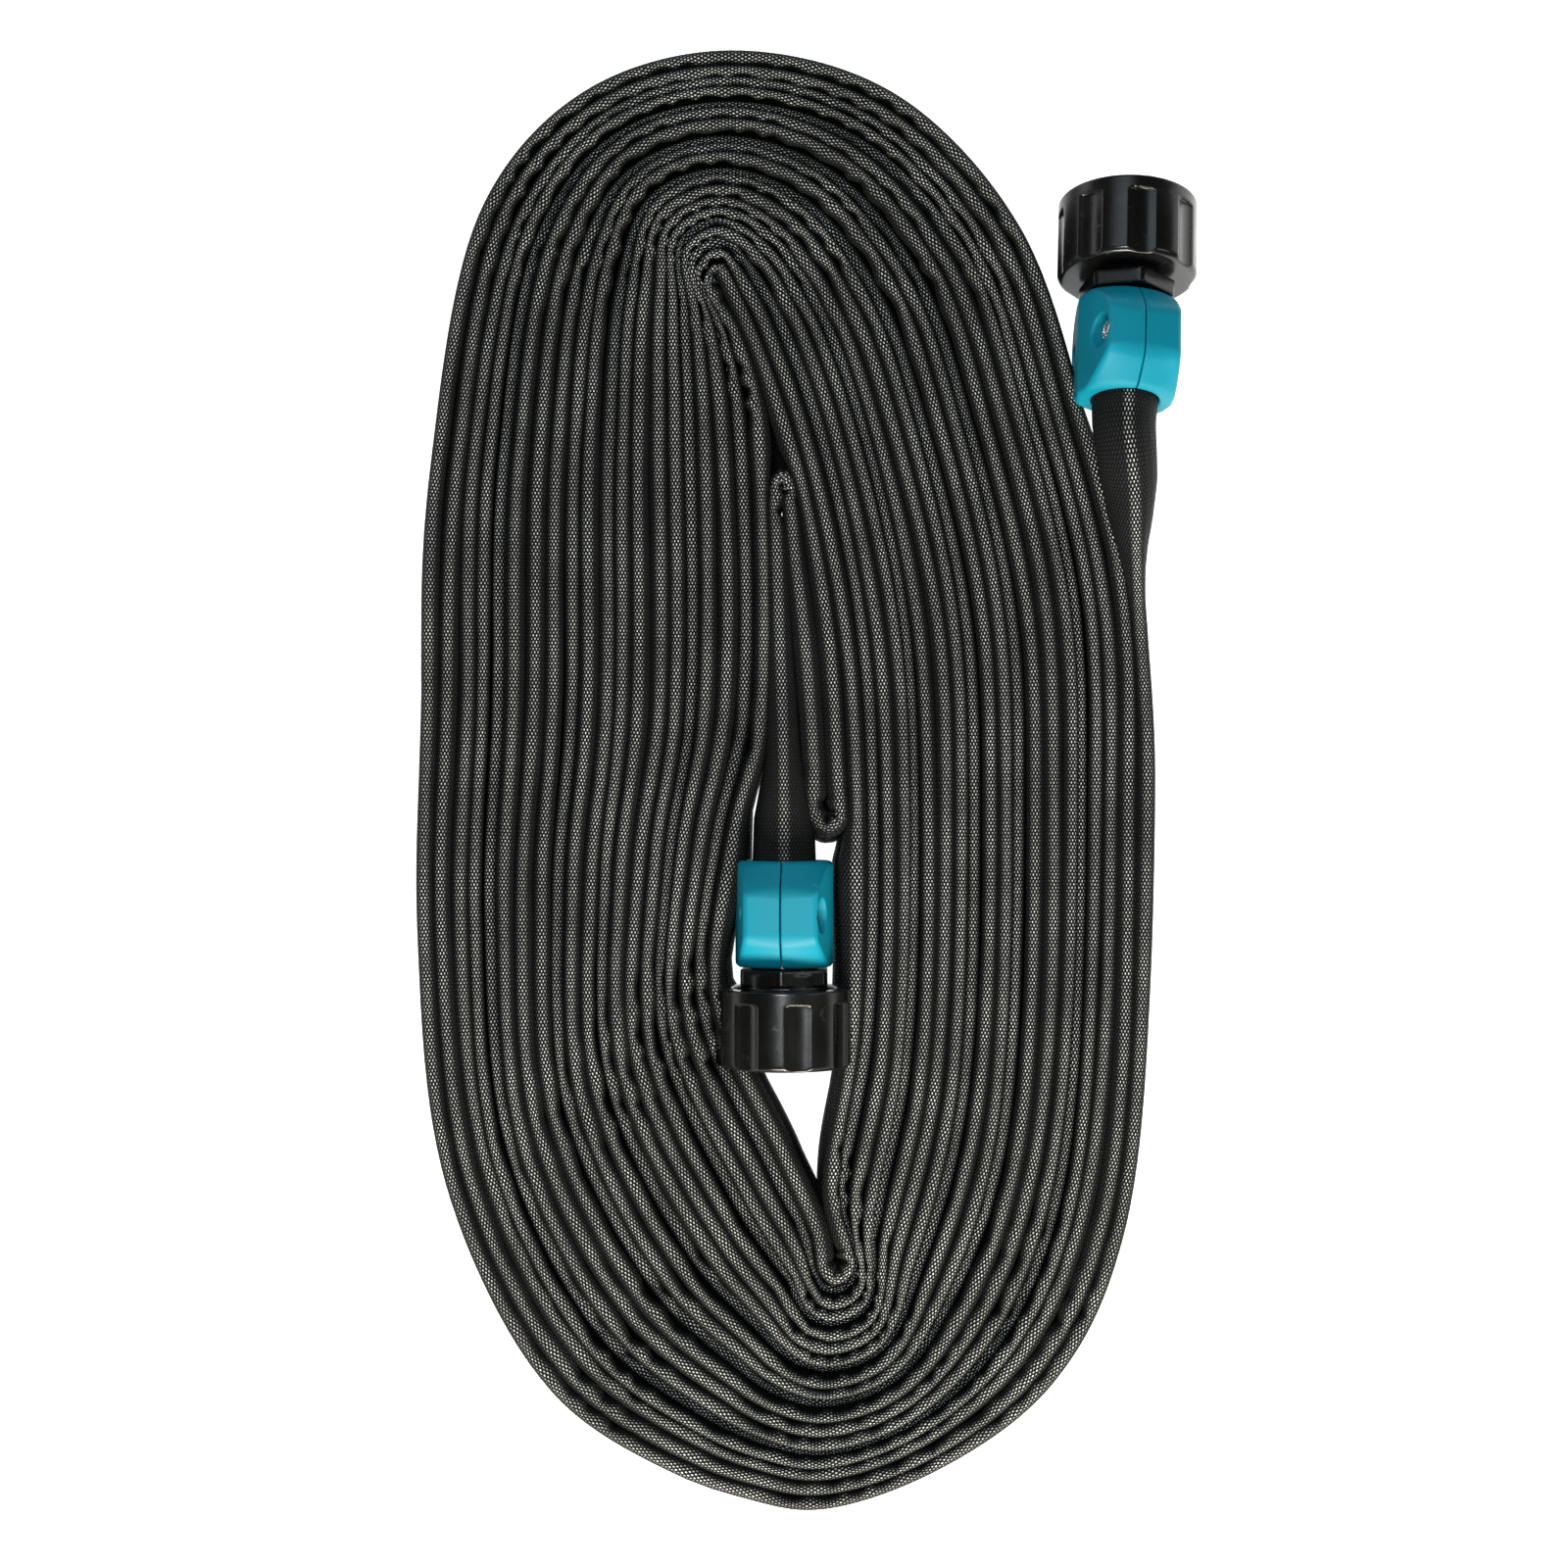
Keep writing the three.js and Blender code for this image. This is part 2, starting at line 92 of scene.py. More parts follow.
class Nodes:
    """A material's node tree, with short ways to add and join nodes."""

    def __init__(self, name):
        self.material = bpy.data.materials.new(name)
        self.material.use_nodes = True
        self.tree = self.material.node_tree
        self.shader = self.tree.nodes["Principled BSDF"]

    def add(self, kind, settings=None, **inputs):
        node = self.tree.nodes.new(kind)
        for key, value in (settings or {}).items():
            setattr(node, key, value)
        for key, value in inputs.items():
            self.put(node, key.replace("_", " "), value)
        return node

    def put(self, node, socket, value):
        target = node.inputs[int(socket)] if socket.isdigit() else node.inputs[socket]
        if isinstance(value, bpy.types.NodeSocket):
            self.tree.links.new(value, target)
        else:
            target.default_value = value

    def maths(self, operation, a, b=0.0):
        node = self.add("ShaderNodeMath", {"operation": operation})
        self.put(node, "0", a)
        self.put(node, "1", b)
        return node.outputs[0]

    def noise(self, vector, scale, detail=3.0):
        node = self.add("ShaderNodeTexNoise", Vector=vector, Scale=scale, Detail=detail)
        return node.outputs["Fac"]

    def spread(self, value, low, high, to_low, to_high):
        node = self.add("ShaderNodeMapRange", {"interpolation_type": "SMOOTHSTEP"})
        for key, number in zip(("From Min", "From Max", "To Min", "To Max"), (low, high, to_low, to_high)):
            node.inputs[key].default_value = number
        self.put(node, "Value", value)
        return node.outputs[0]

    def mix(self, share, first, second):
        node = self.add("ShaderNodeMix", {"data_type": "RGBA"})
        self.put(node, "0", share)
        self.put(node, "6", first)
        self.put(node, "7", second)
        return node.outputs[2]

    def bump(self, height, distance, strength=1.0, under=None):
        node = self.add("ShaderNodeBump", Height=height)
        node.inputs["Distance"].default_value = distance
        node.inputs["Strength"].default_value = strength
        if under is not None:
            self.put(node, "Normal", under)
        return node.outputs[0]

    def place(self):
        return self.add("ShaderNodeTexCoord").outputs["Object"]

    def finish(self, **sockets):
        for key, value in sockets.items():
            self.put(self.shader, key.replace("_", " "), value)
        return self.material


def grey(value, tint=(1.0, 1.0, 1.0)):
    return tuple(value * t for t in tint) + (1.0,)


WARP_PITCH = 0.0018  # metres along the hose between a light dot and the next one in its own line
WEFT_PITCH = 0.00045  # metres across it between two lines, each half a pitch further on


def woven_jacket():
    """Charcoal plain weave with light dots where the warp threads come up, with painted light on the upper
    edge's crest and painted shade down its flanks.
    """
    n = Nodes("woven_jacket")
    uv = n.add("ShaderNodeTexCoord").outputs["UV"]
    parts = n.add("ShaderNodeSeparateXYZ", Vector=uv)
    along, across = parts.outputs[0], parts.outputs[1]
    warp = n.maths("COSINE", n.maths("MULTIPLY", along, 2 * math.pi / WARP_PITCH))
    weft = n.maths("COSINE", n.maths("MULTIPLY", across, math.pi / WEFT_PITCH))
    weave = n.maths("MULTIPLY", warp, weft)
    dots = n.spread(weave, 0.3, 0.8, 0.0, 1.0)
    place = n.place()
    patches = n.noise(place, 45.0, 4.0)
    threads = n.noise(uv, 1400.0, 1.0)
    fading = n.spread(patches, 0.3, 0.75, 0.6, 1.1)
    # Painted light and shade: the dots are painted brightest along the middle of the upper edge and fade
    # almost to black down the flanks, as light from above would fall.
    edge_wear_and_painted_crest_light = n.spread(n.maths("ABSOLUTE", across), 0.0003, 0.0019, 1.0, 0.04)
    brightness = n.maths("MULTIPLY", fading, n.spread(threads, 0.3, 0.7, 0.6, 1.1))
    brightness = n.maths("MULTIPLY", brightness, edge_wear_and_painted_crest_light)
    dark = n.mix(patches, grey(0.002, (0.8, 1.0, 1.1)), grey(0.005, (0.85, 1.0, 1.1)))
    light = n.mix(threads, grey(0.56, (0.91, 1.0, 0.99)), grey(0.86, (0.98, 1.0, 0.95)))
    color = n.mix(n.maths("MULTIPLY", dots, brightness), dark, light)
    height = n.maths("ADD", n.spread(weave, -0.8, 0.8, 0.0, 1.0), n.maths("MULTIPLY", threads, 0.4))
    return n.finish(
        Base_Color=color,
        Roughness=n.spread(dots, 0.0, 1.0, 0.7, 0.42),
        Normal=n.bump(height, 0.00022),
        Specular_IOR_Level=0.12,
    )


def moulded(name, dark, light, rough, scuff, bump, shine):
    """Injection-moulded plastic: a little uneven in colour and gloss, with a fine spark-eroded grain."""
    n = Nodes(name)
    place = n.place()
    cloud = n.noise(place, 60.0)
    grain = n.noise(place, 2600.0, 2.0)
    scratches = n.spread(n.noise(place, 420.0, 6.0), 0.62, 0.72, 0.0, 1.0)
    edge_wear_and_painted_crest_light = n.spread(n.add("ShaderNodeNewGeometry").outputs["Pointiness"], 0.53, 0.62, 0.0, 0.35)
    base = n.mix(cloud, dark, light)
    color = n.mix(n.maths("ADD", n.maths("MULTIPLY", scratches, 0.06), edge_wear_and_painted_crest_light), base, scuff)
    uneven = n.spread(cloud, 0.3, 0.7, rough - 0.05, rough + 0.05)
    roughness = n.maths("ADD", uneven, n.maths("MULTIPLY", scratches, 0.12))
    wide = n.bump(n.noise(place, 220.0), 0.00006, 0.5)
    normal = n.bump(grain, bump, 0.6, wide)
    return n.finish(Base_Color=color, Roughness=roughness, Normal=normal, Specular_IOR_Level=shine)


def plated_steel():
    n = Nodes("plated_steel")
    place = n.place()
    cloud = n.noise(place, 900.0, 4.0)
    color = n.mix(cloud, grey(0.62, (1.0, 0.98, 0.94)), grey(0.82, (1.0, 1.0, 0.98)))
    return n.finish(
        Base_Color=color,
        Metallic=1.0,
        Roughness=n.spread(cloud, 0.3, 0.7, 0.16, 0.34),
        Normal=n.bump(n.noise(place, 3000.0), 0.00002, 0.5),
    )


def soft_rubber(name, tone):
    n = Nodes(name)
    place = n.place()
    cloud = n.noise(place, 300.0, 4.0)
    return n.finish(
        Base_Color=n.mix(cloud, grey(tone), grey(tone * 2)),
        Roughness=n.spread(cloud, 0.3, 0.7, 0.6, 0.8),
        Normal=n.bump(n.noise(place, 1800.0), 0.00004, 0.6),
    )


JACKET = woven_jacket()
TEAL_DARK, TEAL_LIGHT, TEAL_WORN = (0.0, 0.18, 0.26, 1), (0.0, 0.23, 0.33, 1), (0.01, 0.36, 0.46, 1)
TEAL = moulded("teal_plastic", TEAL_DARK, TEAL_LIGHT, 0.5, TEAL_WORN, 0.00004, 0.2)
BLACK = moulded("black_plastic", grey(0.002), grey(0.004), 0.25, grey(0.08), 0.000012, 0.45)
STEEL = plated_steel()
RUBBER = soft_rubber("washer_rubber", 0.012)
LINER = soft_rubber("liner_rubber", 0.008)


# ---------------------------------------------------------------- the hose's route

OUTLET = {"mouth": (-6.2, -21.4, 18.8), "roll": 3.8, "pitch": 0.0, "heading": 0.0}
INLET = {"mouth": (83.2, 99.3, 31.0), "roll": 10.7, "pitch": 13.5, "heading": 177.3}

# The innermost and the outermost turn, counter-clockwise from the middle of the right side. The turns
# between them are shares of the way from one to the other.
INNER_TURN = np.array([
    (8.6, -1.0), (5.2, 40.6), (-3.8, 84.7), (-14.2, 114.7), (-20.6, 129.8), (-23.7, 135.9), (-26.4, 131.5),
    (-17.7, 117.2), (-11.4, 97.9), (-10.1, 16.4), (-17.2, -14.0), (-21.3, -55.6), (-3.2, -98.6),
    (4.0, -117.8), (5.0, -127.6), (7.4, -130.2), (10.2, -127.2), (3.6, -105.2), (8.3, -63.2),
])
OUTER_TURN = np.array([
    (90.2, -1.0), (88.1, 51.0), (75.8, 99.1), (58.5, 147.8), (24.0, 183.4), (-20.5, 194.6), (-58.9, 184.2),
    (-86.5, 154.9), (-101.6, 82.2), (-104.1, 19.8), (-104.4, -42.6), (-95.2, -112.0), (-67.6, -163.4),
    (-36.5, -183.3), (-17.0, -189.8), (2.9, -192.9), (33.4, -182.9), (64.2, -160.0), (82.8, -120.2),
])
STEPS = len(INNER_TURN)
# How much room each turn takes next to the others, and the turns that have slipped lower.
TURN_SHARES = np.array([
    1.1, 0.95, 0.95, 1.1, 0.6, 0.85, 1.1, 1.1, 0.75, 0.95,
    1.1, 0.75, 1.0, 1.15, 1.15, 0.75, 0.7, 0.95, 1.2, 1.1,
])
TURNS = len(TURN_SHARES)
LOW_TURNS = (1, 4, 8, 11, 15)
LOW_DEPTH = 4.8
LEVEL = 12.8  # the middle of the standing hose
HALF_HEIGHT = 10.7

# From the outlet clamp to the innermost turn: up, a fold, down beside itself and another fold.
OUTLET_ROUTE = [
    (-6.2, -24.4, 18.8), (-6.2, -15.0, 18.7), (-6.5, 9.4, 17.0), (-7.4, 38.0, 13.8), (-8.3, 64.7, 12.8),
    (-8.8, 74.9, 12.8), (-8.2, 79.4, 12.8), (-6.4, 81.0, 12.8), (-4.8, 78.8, 12.8), (-4.3, 74.5, 12.8),
    (-3.2, 61.4, 12.8), (-0.4, 37.0, 12.8), (1.6, 4.0, 12.8), (1.6, -6.0, 12.8), (2.4, -10.9, 12.8),
    (5.5, -12.7, 12.8), (8.6, -10.6, 12.8), (9.0, -6.0, 12.8),
]
# From the last turn up into the inlet clamp.
INLET_ROUTE = [
    (88.5, 38.0, 12.2), (87.5, 49.0, 14.6), (86.1, 63.0, 20.8), (84.9, 76.0, 27.8), (83.6, 86.0, 31.8),
    (82.9, 93.0, 32.3), (83.17, 98.6, 31.2), (83.33, 102.1, 30.36),
]
SAMPLES = 24  # per step of the route


def winding(turn):
    """The place of the hose after so many turns, from 0 at the inside to TURNS at the outside."""
    borders = np.concatenate([[0], np.cumsum(TURN_SHARES) / TURN_SHARES.sum()])
    share = np.interp(turn, np.arange(TURNS + 1), borders)
    corner = int(round((turn % 1) * STEPS)) % STEPS
    place = INNER_TURN[corner] * (1 - share) + OUTER_TURN[corner] * share
    # Each low turn starts to drop at a different place round the coil.
    drop = 0.0
    for k in LOW_TURNS:
        start = k + 0.5 * ((k * 0.618) % 1)
        drop = max(drop, min(1.0, (turn - start) / 0.1, (start + 1 - turn) / 0.1))
    drop = drop * drop * (3 - 2 * drop)
    # No two turns run quite parallel, except for the innermost and the outermost one.
    sway = 0.25 * math.sin(turn * 9.1 + int(turn)) * (0 < share < 1)
    return (place[0] + sway, place[1], LEVEL - LOW_DEPTH * drop)


def spline(points, samples):
    """A smooth line through all the points, with so many samples for each step."""
    p = np.array(points, float)
    p = np.vstack([2 * p[0] - p[1], p, 2 * p[-1] - p[-2]])
    knots = np.concatenate([[0], np.cumsum(np.linalg.norm(np.diff(p, axis=0), axis=1) ** 0.5)])
    lines = []
    for i in range(1, len(p) - 2):
        t0, t1, t2, t3 = knots[i - 1:i + 3]
        t = np.linspace(t1, t2, samples, endpoint=False)[:, None]
        a1 = (t1 - t) / (t1 - t0) * p[i - 1] + (t - t0) / (t1 - t0) * p[i]
        a2 = (t2 - t) / (t2 - t1) * p[i] + (t - t1) / (t2 - t1) * p[i + 1]
        a3 = (t3 - t) / (t3 - t2) * p[i + 1] + (t - t2) / (t3 - t2) * p[i + 2]
        b1 = (t2 - t) / (t2 - t0) * a1 + (t - t0) / (t2 - t0) * a2
        b2 = (t3 - t) / (t3 - t1) * a2 + (t - t1) / (t3 - t1) * a3
        lines.append((t2 - t) / (t2 - t1) * b1 + (t - t1) / (t2 - t1) * b2)
    return np.vstack(lines + [p[-2]])


coil = [winding(i / STEPS) for i in range(TURNS * STEPS + 1)]
route = spline(OUTLET_ROUTE + coil + INLET_ROUTE, SAMPLES)
arc = np.concatenate([[0], np.cumsum(np.linalg.norm(np.diff(route, axis=0), axis=1))])
LENGTH = arc[-1]


def unit(v):
    return v / np.linalg.norm(v, axis=1)[:, None]


def ramp(x, low, high):
    """From 0 to 1 with a soft start and end while x goes from low to high."""
    t = np.clip((x - low) / (high - low), 0, 1)
    return t * t * (3 - 2 * t)


def softened(values, reach):
    """The values averaged over so many samples on each side."""
    kernel = np.hanning(2 * reach + 3)[1:-1]
    padded = np.concatenate([[values[0]] * reach, values, [values[-1]] * reach])
    return np.convolve(padded, kernel / kernel.sum(), mode="valid")


tangent = unit(np.gradient(route, arc, axis=0))
left = unit(np.cross([0.0, 0.0, 1.0], tangent))
heading = np.unwrap(np.arctan2(tangent[:, 1], tangent[:, 0]))
curvature = np.gradient(softened(heading, 12), arc)  # positive where the hose turns left

FREE_HALVES = (3.2, 2.2)  # how far the hose spreads to the left and right where nothing presses on it
WIDEST = 3.6  # as far as it spreads towards a neighbour
NARROWEST = 0.85  # as far as the next stretch can squeeze it
FAR = 9.0  # a neighbour further off than this doesn't press on it
SHARE_OF_GAP = 0.55  # a little over a half, so that neighbours press into each other
LEANING = 2.0  # how much further it spreads where it leans against the outlet's clamp
CLAMP_SPOT = (0, -40)  # about the middle of that clamp
EVEN_STEP = 2.0  # how far apart along the hose its room is worked out
even = np.arange(0, LENGTH, EVEN_STEP)


def evenly(values):
    """The x and y of the values at the even steps."""
    return np.stack([np.interp(even, arc, values[:, k]) for k in range(2)], 1)


def rooms():
    """How far the hose spreads to the left and to the right at each even step."""
    place, ahead, aside = evenly(route), evenly(tangent), evenly(left)
    halves = np.full((2, len(even)), FAR)
    for i in range(len(even)):
        gap = place - place[i]
        beside = (np.abs(gap @ ahead[i]) < 0.7 * EVEN_STEP) & (np.abs(even - even[i]) > FAR)
        across = (gap @ aside[i])[beside]
        halves[0, i] = min(across[across > 0.5], default=FAR)
        halves[1, i] = min(-across[across < -0.5], default=FAR)
    across, along = np.abs(place[:, 0] - CLAMP_SPOT[0]), np.abs(place[:, 1] - CLAMP_SPOT[1])
    beside_clamp = (across < 24) * (1 - ramp(along, 18, 32))
    free = np.array(FREE_HALVES)[:, None] + LEANING * beside_clamp
    halves = np.where(halves >= FAR, free, np.minimum(SHARE_OF_GAP * halves, WIDEST))
    return [softened(np.maximum(half, NARROWEST), 3) for half in halves]


left_room, right_room = rooms()


# ---------------------------------------------------------------- the hose's surface

BULB = np.radians([-28, 6, 39, 73, 107, 141, 174, 208])  # round an edge's bulb
UPPER_EDGE = (3, 4)  # the bulb's two highest points
WAIST = 0.75  # half the thickness between the two bulbs, where the walls lie together
BULB_HEIGHT = 0.56  # of the bulb's width
LOWER_SPREAD = (1.25, 1.1)  # the lower bulb next to the upper one, on the left and on the right
FOLD_SPREAD = 1.2  # how much further the lower bulb spreads in a tight fold
PINCH = 0.8  # of the bend's radius: as far as the upper bulb can reach towards the middle of a bend
PUCKER = 1.6  # how much deeper the puckers are in a bend than along a straight stretch
ROUND_RADIUS = 8.25  # of the opened-out hose
# Half the hose's width from the outlet clamp up to the first fold: distances, then half-widths.
FIRST_LEG = ([20, 35, 50, 62, 85, 99], [7.0, 5.1, 4.1, 3.5, 2.8, 2.2])
# The same where the hose opens out to a circle: distances from the inlet's end and from the outlet's.
NEAR_INLET = ([3.5, 24, 34, 40, 54, 68], [8.65, 7.5, 5.85, 4.7, 3.4, 2.3])
NEAR_OUTLET = ([3, 14, 20, 27, 35, 44, 60], [8.6, 8.2, 7.0, 5.8, 4.8, 4.1, 3.4])
OUTLET_SIDE = 200  # up to this far along the hose, the outlet's end shapes it
FOLD_TOP = (-8, 89)  # the place between the innermost turn's two sides, above the first fold
LONG_CELL, BEND_CELL, FOLD_CELL = 23.0, 8.5, 4.6  # from one pucker to the next
# The hose's ends, which have closer rings: how long each is, and the largest cells there.
OUTLET_END, INLET_END = 220, 80
END_CELL, END_FOLD_CELL = 8.0, 2.4


def wander(at, step, seed):
    """Smooth noise from -1 to 1 along the hose, changing about once in each step."""
    values = np.random.default_rng(seed).uniform(-1, 1, int(LENGTH / step) + 4)
    t = np.clip(at / step, 0, len(values) - 2)
    low = t.astype(int)
    share = t - low
    share = share * share * (3 - 2 * share)
    return values[low] * (1 - share) + values[low + 1] * share


def stations():
    """Where the rings go and how deep each is in a pucker: the cloth puckers inside every bend."""
    places, dips = [], []
    at = 0.0
    while at < LENGTH - 1:
        bend = np.interp(at, arc, np.abs(curvature))
        tight = float(ramp(bend, 1 / 300, 1 / 75))
        sharp = float(ramp(bend, 1 / 30, 1 / 14))
        cell = (LONG_CELL * (1 - tight) + BEND_CELL * tight) * (1 - sharp) + FOLD_CELL * sharp
        cell = cell * rng.uniform(0.7, 1.3)
        if at < OUTLET_END or at > LENGTH - INLET_END:
            cell = min(cell, END_CELL if bend < 0.1 else END_FOLD_CELL)
        depth = rng.uniform(0.3, 1.35)
        for phase, dip in ((0.0, 1.0), (0.22, 0.6), (0.5, 0.0), (0.78, 0.6)):
            places.append(at + phase * cell)
            dips.append(dip * depth)
        at += cell
    places, dips = np.array(places), np.array(dips)
    keep = places < LENGTH - 0.5
    return np.append(places[keep], LENGTH), np.append(dips[keep], 0.0)


def bulb_widths(at, place, turning):
    """How far the upper bulb spreads to the left and to the right, and then the lower one."""
    first_leg = (at < FIRST_LEG[0][-1])[:, None]
    thick = np.interp(at, *FIRST_LEG)[:, None]
    swell = (1 + 0.07 * wander(at, 26, 1))[:, None]
    to_left = np.where(first_leg, thick, np.interp(at, even, left_room)[:, None]) * swell
    to_right = np.where(first_leg, thick, np.interp(at, even, right_room)[:, None]) * swell
    tight = ramp(np.abs(turning), 1 / 25, 1 / 10)
    # Above the first fold the innermost turn's two sides lean together down below.
    from_fold = np.hypot(place[:, 0] - FOLD_TOP[0], place[:, 1] - FOLD_TOP[1])
    closing = 1.5 * (1 - ramp(from_fold, 6, 14))[:, None]
    low_left = LOWER_SPREAD[0] * to_left + FOLD_SPREAD * tight + closing
    low_right = LOWER_SPREAD[1] * to_right + FOLD_SPREAD * tight
    # A bend tighter than the hose is wide pinches the inner side of its upper bulb.
    pinch = PINCH / np.maximum(np.abs(turning), 1e-4)
    to_left = np.where(turning > 0, np.minimum(to_left, pinch), to_left)
    to_right = np.where(turning < 0, np.minimum(to_right, pinch), to_right)
    return to_left, to_right, low_left, low_right


def opened_out(at, x_bone, y_bone):
    """The sections, turned into ellipses near the clamps, whose points are counted round in the same way."""
    from_outlet, from_inlet = at, LENGTH - at
    count = x_bone.shape[1]
    turn = np.radians(27 + 360 / count * np.arange(count))[None, :]
    at_outlet = from_outlet < OUTLET_SIDE
    outlet_half, inlet_half = np.interp(from_outlet, *NEAR_OUTLET), np.interp(from_inlet, *NEAR_INLET)
    across = np.where(at_outlet, outlet_half, inlet_half)[:, None]
    tall = np.sqrt(np.maximum(2 * ROUND_RADIUS ** 2 - across ** 2, 1.0))
    tall = np.where((np.minimum(from_outlet - 3, from_inlet - 3.5) < 3)[:, None], across, tall)
    tall = np.minimum(tall, HALF_HEIGHT + 0.3)
    flat = np.where(at_outlet, ramp(from_outlet, 22, 55), ramp(from_inlet, 36, 66))[:, None]
    x = x_bone * flat + across * np.cos(turn) * (1 - flat)
    y = y_bone * flat + tall * np.sin(turn) * (1 - flat)
    return x, y


def hose_rings(at, dips):
    """Each ring's points and its centre: a dog-bone standing on edge, opened out near the clamps."""
    def along(values):
        return np.stack([np.interp(at, arc, values[:, k]) for k in range(3)], 1)

    centre, forward, side = along(route), unit(along(tangent)), -unit(along(left))
    up = np.cross(side, forward)
    turning = np.interp(at, arc, curvature)[:, None]
    to_left, to_right, low_left, low_right = bulb_widths(at, centre, turning)

    half = HALF_HEIGHT + (0.35 * wander(at, 90, 2) + 0.15 * wander(at, 31, 3))[:, None]
    squeezed = ramp(LEVEL - centre[:, 2], 0.5, LOW_DEPTH)[:, None]
    top = half + 0.1 * squeezed
    bottom = np.minimum(half, centre[:, 2][:, None] - 0.15)
    lean = (0.3 * wander(at, 70, 4))[:, None]

    bulb_high = BULB_HEIGHT * (to_left + to_right)
    cos, sin = np.cos(BULB)[None, :], np.sin(BULB)[None, :]
    x_top = np.where(cos > 0, to_right, to_left) * cos
    x_low = np.where(cos < 0, low_right, low_left) * -cos
    y_top = top - bulb_high + bulb_high * sin
    y_low = -(bottom - bulb_high + bulb_high * sin)

    # Puckers on the inner side of the bend, with the cloth a little raised between them.
    strong = ramp(np.abs(turning), 1 / 260, 1 / 90) * PUCKER + 0.10
    towards = np.sign(turning)  # 1 where the left side is the inner one
    depth = np.minimum(strong * dips[:, None], 0.8 * np.where(towards > 0, to_left, to_right))
    inside = np.clip(-cos * towards + 0.25, 0, 1)
    rise = (strong - 0.1) * 0.30
    x_top = x_top + towards * inside * (depth - rise)
    y_top = y_top - 0.9 * depth * inside * np.clip(sin, 0, 1)
    x_low = x_low + towards * np.clip(cos * towards + 0.25, 0, 1) * (depth - rise) * 0.8

    waist = np.full_like(half, WAIST)
    x_bone = np.hstack([x_top, -waist, -waist, x_low, waist, waist])
    y_bone = np.hstack([y_top, top * 0.3, -bottom * 0.3, y_low, -bottom * 0.3, top * 0.3])
    x_bone = x_bone + lean * y_bone / HALF_HEIGHT

    x, y = opened_out(at, x_bone, y_bone)
    points = centre[:, None, :] + x[:, :, None] * side[:, None, :] + y[:, :, None] * up[:, None, :]
    return points, centre


def ring_faces(rings, count):
    """The faces between each ring of points and the next, all facing out."""
    faces = []
    for i in range(rings - 1):
        for k in range(count):
            after = (k + 1) % count
            faces.append((i * count + k, (i + 1) * count + k, (i + 1) * count + after, i * count + after))
    return faces


def mesh_object(name, vertices, faces, material, place=None):
    """A smooth-shaded object from points in millimetres, its faces pointing out."""
    mesh = bpy.data.meshes.new(name)
    mesh.from_pydata((np.asarray(vertices) * MM).tolist(), [], faces)
    if place is not None:
        mesh.transform(place)
    mesh.update()
    mesh.shade_smooth()
    mesh.materials.append(material)
    piece = bpy.data.objects.new(name, mesh)
    bpy.context.scene.collection.objects.link(piece)
    return piece


def build_hose():
    at, dips = stations()
    points, centre = hose_rings(at, dips)
    rings, count = points.shape[:2]
    faces = ring_faces(rings, count)
    last = (rings - 1) * count
    faces.append(tuple(range(count)))
    faces.append(tuple(last + k for k in range(count))[::-1])
    piece = mesh_object("woven_hose", points.reshape(-1, 3) + SHIFT, faces, JACKET)

    # UV in metres: along the hose, and round it both ways from the middle of its upper edge.
    widths = np.linalg.norm(np.roll(points, -1, axis=1) - points, axis=2)
    widths = np.stack([softened(widths[:, k], 12) for k in range(count)], 1)
    round_it = np.hstack([np.zeros((rings, 1)), np.cumsum(widths, axis=1)])
    round_it = round_it - round_it[:, UPPER_EDGE].mean(axis=1, keepdims=True)
    uv = np.zeros((len(piece.data.loops), 2))
    i, k = np.divmod(np.arange((rings - 1) * count), count)
    corners = np.stack([
        np.stack([at[i], round_it[i, k]], 1), np.stack([at[i + 1], round_it[i + 1, k]], 1),
        np.stack([at[i + 1], round_it[i + 1, k + 1]], 1), np.stack([at[i], round_it[i, k + 1]], 1),
    ], 1)
    uv[:len(corners) * 4] = corners.reshape(-1, 2) * MM
    layer = piece.data.uv_layers.new(name="weave")
    layer.data.foreach_set("uv", uv.ravel().astype(np.float32))
    return piece, centre


hose, centre_line = build_hose()


# ---------------------------------------------------------------- solids from distance fields

# Each function of x, y, z gives the distance in millimetres to a solid's surface, negative inside it. They
# are in a coupling's own frame: +Z from the clamp's mouth to the open end, +Y its front, +X the screw heads.
# A factor in front of a slanted or threaded surface brings its field back near a true distance.

def meet(radius, *fields):
    """What all the fields have in common, with its edges rounded."""
    deepest = fields[0]
    total = np.maximum(fields[0] + radius, 0) ** 2
    for field in fields[1:]:
        deepest = np.maximum(deepest, field)
        total = total + np.maximum(field + radius, 0) ** 2
    return np.minimum(deepest, -radius) + np.sqrt(total)


def join(radius, a, b):
    """Both fields together, with a fillet where they meet."""
    fillet = np.hypot(np.maximum(radius - a, 0), np.maximum(radius - b, 0))
    return np.maximum(np.minimum(a, b), radius) - fillet


def between(value, low, high):
    return np.maximum(low - value, value - high)


def rod(radius, r, z, outer, low, high):
    return meet(radius, r - outer, low - z, z - high)


def sculpt(name, field, low, high, step, material, place):
    """An object whose surface is where the field is zero, inside the box from low to high."""
    low, high = np.array(low, float), np.array(high, float)
    axes = [np.arange(a, b + step, step) for a, b in zip(low, high)]
    x, y, z = np.meshgrid(*axes, indexing="ij", sparse=True)
    values = np.broadcast_to(field(x, y, z), [len(a) for a in axes]).astype(np.float32)
    grid = openvdb.FloatGrid(background=float(values.max()))
    grid.copyFromArray(np.ascontiguousarray(values))
    points, quads = grid.convertToQuads(0.0)
    return mesh_object(name, low + points * step, quads.tolist(), material, place)


def coupling_place(mouth, roll, pitch, heading):
    turn = Matrix.Rotation(math.radians(heading), 4, "Z")
    turn = turn @ Matrix.Rotation(math.radians(90 + pitch), 4, "X")
    turn = turn @ Matrix.Rotation(math.radians(roll), 4, "Z")
    return Matrix.Translation(Vector(np.array(mouth) + SHIFT) * MM) @ turn


